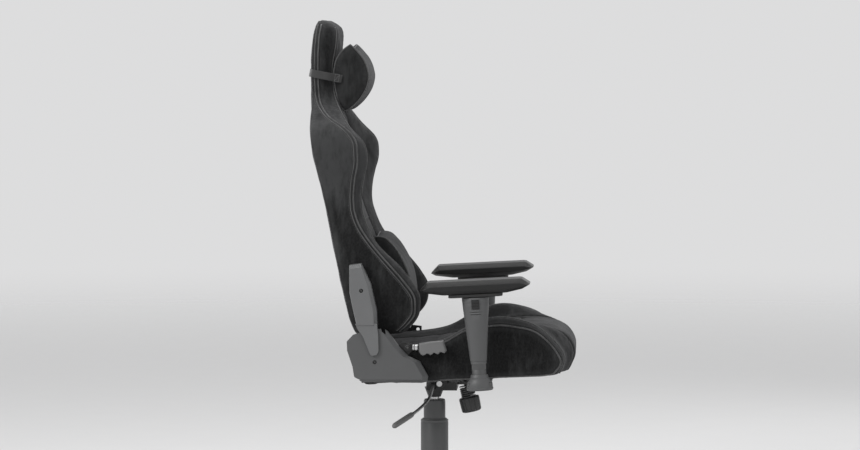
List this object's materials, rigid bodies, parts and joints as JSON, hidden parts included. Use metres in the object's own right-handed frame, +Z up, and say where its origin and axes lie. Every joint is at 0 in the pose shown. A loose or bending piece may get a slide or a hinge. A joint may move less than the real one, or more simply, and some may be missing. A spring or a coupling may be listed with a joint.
{
  "type": "gaming chair",
  "caption": "Bucket-seat gaming chair with reclining back, head and lumbar pillows, height-adjustable arms, tilt mechanism, gas lift and castor base.",
  "frame": {"origin": "on the floor, on the axis of the gas spring", "axes": "+Z up; the chair faces -Y, so the sitter's left is +X"},
  "size_m": [0.734, 0.7029, 1.301],
  "materials": {
    "suede": "matte",
    "pillow_suede": "matte",
    "webbing": "matte",
    "dust_cloth": "matte",
    "black_plastic": "satin",
    "grey_plastic": "satin",
    "pad_foam": "matte",
    "tread": "satin",
    "black_steel": "satin",
    "grey_paint": "satin",
    "bright_steel": "satin"
  },
  "bodies": {
    "base": {"base_star": "black_plastic", "gas_spring_tube": "black_steel", "column_cover_lower": "grey_plastic"},
    "lift": {"gas_spring_piston": "bright_steel", "column_cover_upper": "grey_plastic"},
    "cover_middle": {"column_cover_middle": "grey_plastic"},
    "release_pin": {"gas_release_pin": "bright_steel"},
    "mechanism": {"mechanism_housing": "black_steel", "tilt_axle": "bright_steel", "tension_spring": "black_steel"},
    "tension_knob": {"tension_knob": "black_plastic"},
    "lever_bush": {"lever_bush": "black_plastic"},
    "height_lever": {"height_lever_rod": "bright_steel", "height_lever_grip": "black_plastic"},
    "seat": {"mechanism_top_plate": "black_steel", "seat_frame": "black_steel", "seat_cushion": "suede", "seat_dust_cover": "dust_cloth", "hinge_cover_lower_left": "grey_plastic", "hinge_cover_lower_right": "grey_plastic", "arm_bracket_left": "grey_paint", "arm_bracket_right": "grey_paint", "arm_foot_left": "grey_plastic", "arm_foot_right": "grey_plastic"},
    "recline_lever": {"recline_lever_arm": "black_steel", "recline_lever_grip": "grey_plastic"},
    "backrest": {"back_frame": "black_steel", "back_cushion": "suede", "hinge_cover_upper_left": "grey_plastic", "hinge_cover_upper_right": "grey_plastic", "recline_pin_left": "bright_steel", "recline_pin_right": "bright_steel", "lumbar_pillow": "pillow_suede", "lumbar_strap": "webbing", "head_pillow": "pillow_suede", "head_strap": "webbing"},
    "arm_slide_left": {"arm_sleeve_left": "grey_plastic"},
    "arm_button_left": {"arm_button_left": "black_plastic"},
    "pad_swivel_left": {"pad_swivel_plate_left": "black_plastic"},
    "arm_pad_left": {"arm_pad_left": "pad_foam"},
    "arm_slide_right": {"arm_sleeve_right": "grey_plastic"},
    "arm_button_right": {"arm_button_right": "black_plastic"},
    "pad_swivel_right": {"pad_swivel_plate_right": "black_plastic"},
    "arm_pad_right": {"arm_pad_right": "pad_foam"},
    "caster_1": {"caster_hood_1": "black_plastic"},
    "wheel_1_a": {"caster_wheel_1_a": "tread"},
    "wheel_1_b": {"caster_wheel_1_b": "tread"},
    "caster_2": {"caster_hood_2": "black_plastic"},
    "wheel_2_a": {"caster_wheel_2_a": "tread"},
    "wheel_2_b": {"caster_wheel_2_b": "tread"},
    "caster_3": {"caster_hood_3": "black_plastic"},
    "wheel_3_a": {"caster_wheel_3_a": "tread"},
    "wheel_3_b": {"caster_wheel_3_b": "tread"},
    "caster_4": {"caster_hood_4": "black_plastic"},
    "wheel_4_a": {"caster_wheel_4_a": "tread"},
    "wheel_4_b": {"caster_wheel_4_b": "tread"},
    "caster_5": {"caster_hood_5": "black_plastic"},
    "wheel_5_a": {"caster_wheel_5_a": "tread"},
    "wheel_5_b": {"caster_wheel_5_b": "tread"}
  },
  "joints": [
    {"name": "gas_lift", "type": "slide", "parent": "base", "child": "lift", "axis": [0, 0, 1], "range_m": [-0.045, 0.045]},
    {"name": "cover_telescope", "type": "slide", "parent": "base", "child": "cover_middle", "axis": [0, 0, 1], "range_m": [-0.0225, 0.0225]},
    {"name": "gas_release", "type": "slide", "parent": "lift", "child": "release_pin", "axis": [0, 0, -1], "range_m": [0, 0.0034]},
    {"name": "seat_swivel", "type": "hinge", "parent": "lift", "child": "mechanism", "pos_m": [0, 0, 0.37], "axis": [0, 0, 1], "continuous": true},
    {"name": "tension_adjust", "type": "hinge", "parent": "mechanism", "child": "tension_knob", "pos_m": [0, -0.0784, 0.393], "axis": [0, 0.2164, 0.9763], "range_deg": [-360, 720]},
    {"name": "tilt_lock", "type": "slide", "parent": "mechanism", "child": "lever_bush", "axis": [-1, 0, 0], "range_m": [0, 0.012]},
    {"name": "height_lever_pull", "type": "hinge", "parent": "lever_bush", "child": "height_lever", "pos_m": [-0.053, 0, 0.3954], "axis": [0, 1, 0], "range_deg": [0, 3.5], "stiffness_Nm_per_rad": 4, "springref_deg": -11.46},
    {"name": "seat_tilt", "type": "hinge", "parent": "mechanism", "child": "seat", "pos_m": [0, -0.015, 0.399], "axis": [-1, 0, 0], "range_deg": [0, 12], "stiffness_Nm_per_rad": 110, "springref_deg": -24.06},
    {"name": "recline_lever_pull", "type": "hinge", "parent": "seat", "child": "recline_lever", "pos_m": [-0.27, 0.054, 0.507], "axis": [-1, 0, 0], "range_deg": [0, 22], "stiffness_Nm_per_rad": 1, "springref_deg": -17.19},
    {"name": "back_recline", "type": "hinge", "parent": "seat", "child": "backrest", "pos_m": [0, 0.133, 0.472], "axis": [-1, 0, 0], "range_deg": [0, 60]},
    {"name": "arm_height_left", "type": "slide", "parent": "seat", "child": "arm_slide_left", "axis": [0, 0.0523, 0.9986], "range_m": [-0.018, 0.052]},
    {"name": "arm_button_press_left", "type": "slide", "parent": "arm_slide_left", "child": "arm_button_left", "axis": [-1, 0, 0], "range_m": [0, 0.0035], "stiffness_N_per_m": 400, "springref_m": -0.004},
    {"name": "pad_turn_left", "type": "hinge", "parent": "arm_slide_left", "child": "pad_swivel_left", "pos_m": [0.33, -0.11179, 0.63617], "axis": [0, 0.0523, 0.9986], "range_deg": [-15, 15]},
    {"name": "pad_slide_left", "type": "slide", "parent": "pad_swivel_left", "child": "arm_pad_left", "axis": [0, -0.9986, 0.0523], "range_m": [-0.015, 0.025]},
    {"name": "arm_height_right", "type": "slide", "parent": "seat", "child": "arm_slide_right", "axis": [0, 0.0523, 0.9986], "range_m": [-0.018, 0.052]},
    {"name": "arm_button_press_right", "type": "slide", "parent": "arm_slide_right", "child": "arm_button_right", "axis": [1, 0, 0], "range_m": [0, 0.0035], "stiffness_N_per_m": 400, "springref_m": -0.004},
    {"name": "pad_turn_right", "type": "hinge", "parent": "arm_slide_right", "child": "pad_swivel_right", "pos_m": [-0.33, -0.11179, 0.63617], "axis": [0, 0.0523, 0.9986], "range_deg": [-15, 15]},
    {"name": "pad_slide_right", "type": "slide", "parent": "pad_swivel_right", "child": "arm_pad_right", "axis": [0, -0.9986, 0.0523], "range_m": [-0.015, 0.025]},
    {"name": "caster_swivel_1", "type": "hinge", "parent": "base", "child": "caster_1", "pos_m": [0, 0.32, 0.07], "axis": [0, 0, 1], "continuous": true},
    {"name": "wheel_spin_1_a", "type": "hinge", "parent": "caster_1", "child": "wheel_1_a", "pos_m": [-0.0197, 0.31653, 0.03], "axis": [0.1736, -0.9848, 0], "continuous": true},
    {"name": "wheel_spin_1_b", "type": "hinge", "parent": "caster_1", "child": "wheel_1_b", "pos_m": [-0.0197, 0.31653, 0.03], "axis": [0.1736, -0.9848, 0], "continuous": true},
    {"name": "caster_swivel_2", "type": "hinge", "parent": "base", "child": "caster_2", "pos_m": [-0.30434, 0.09889, 0.07], "axis": [0, 0, 1], "continuous": true},
    {"name": "wheel_spin_2_a", "type": "hinge", "parent": "caster_2", "child": "wheel_2_a", "pos_m": [-0.31523, 0.08211, 0.03], "axis": [0.8387, -0.5446, 0], "continuous": true},
    {"name": "wheel_spin_2_b", "type": "hinge", "parent": "caster_2", "child": "wheel_2_b", "pos_m": [-0.31523, 0.08211, 0.03], "axis": [0.8387, -0.5446, 0], "continuous": true},
    {"name": "caster_swivel_3", "type": "hinge", "parent": "base", "child": "caster_3", "pos_m": [-0.18809, -0.25888, 0.07], "axis": [0, 0, 1], "continuous": true},
    {"name": "wheel_spin_3_a", "type": "hinge", "parent": "caster_3", "child": "wheel_3_a", "pos_m": [-0.16809, -0.25923, 0.03], "axis": [0.0175, 0.9998, 0], "continuous": true},
    {"name": "wheel_spin_3_b", "type": "hinge", "parent": "caster_3", "child": "wheel_3_b", "pos_m": [-0.16809, -0.25923, 0.03], "axis": [0.0175, 0.9998, 0], "continuous": true},
    {"name": "caster_swivel_4", "type": "hinge", "parent": "base", "child": "caster_4", "pos_m": [0.18809, -0.25888, 0.07], "axis": [0, 0, 1], "continuous": true},
    {"name": "wheel_spin_4_a", "type": "hinge", "parent": "caster_4", "child": "wheel_4_a", "pos_m": [0.20427, -0.24713, 0.03], "axis": [-0.5878, 0.809, 0], "continuous": true},
    {"name": "wheel_spin_4_b", "type": "hinge", "parent": "caster_4", "child": "wheel_4_b", "pos_m": [0.20427, -0.24713, 0.03], "axis": [-0.5878, 0.809, 0], "continuous": true},
    {"name": "caster_swivel_5", "type": "hinge", "parent": "base", "child": "caster_5", "pos_m": [0.30434, 0.09889, 0.07], "axis": [0, 0, 1], "continuous": true},
    {"name": "wheel_spin_5_a", "type": "hinge", "parent": "caster_5", "child": "wheel_5_a", "pos_m": [0.3085, 0.11845, 0.03], "axis": [-0.9781, 0.2079, 0], "continuous": true},
    {"name": "wheel_spin_5_b", "type": "hinge", "parent": "caster_5", "child": "wheel_5_b", "pos_m": [0.3085, 0.11845, 0.03], "axis": [-0.9781, 0.2079, 0], "continuous": true}
  ],
  "couplings": [
    {"joint": "cover_telescope", "follows": "gas_lift", "ratio": 0.5},
    {"joint": "gas_release", "follows": "height_lever_pull", "m_per_rad": 0.053}
  ]
}
